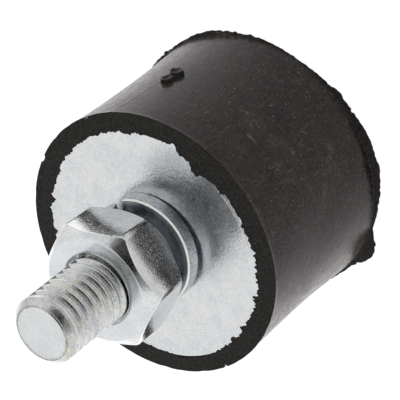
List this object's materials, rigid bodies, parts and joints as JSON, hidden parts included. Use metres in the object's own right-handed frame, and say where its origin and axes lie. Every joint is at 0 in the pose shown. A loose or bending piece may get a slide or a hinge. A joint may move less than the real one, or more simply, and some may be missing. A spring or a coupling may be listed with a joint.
{
  "type": "rubber buffer",
  "caption": "Cylindrical rubber anti-vibration buffer with a plated threaded stud at one end, fitted with a spring washer and a hexagon nut; the other end is plain rubber.",
  "frame": {"origin": "centre of the plain rubber end face", "axes": "+Z along the stud, away from the plain end; +Y square to a flat of the nut"},
  "size_m": [0.0407, 0.0412, 0.052],
  "materials": {
    "rubber": "matt moulded natural rubber, dark warm grey",
    "plate_zinc": "bright zinc plate, satin",
    "stud_zinc": "zinc plate on rolled thread, slightly yellowed",
    "washer_zinc": "zinc plate, grainy",
    "nut_zinc": "zinc plate, grainy flats and bright chamfers"
  },
  "bodies": {
    "root": {"rubber_body": "rubber", "mounting_plate": "plate_zinc", "threaded_stud": "stud_zinc", "spring_washer": "washer_zinc", "hex_nut": "nut_zinc"}
  },
  "joints": []
}
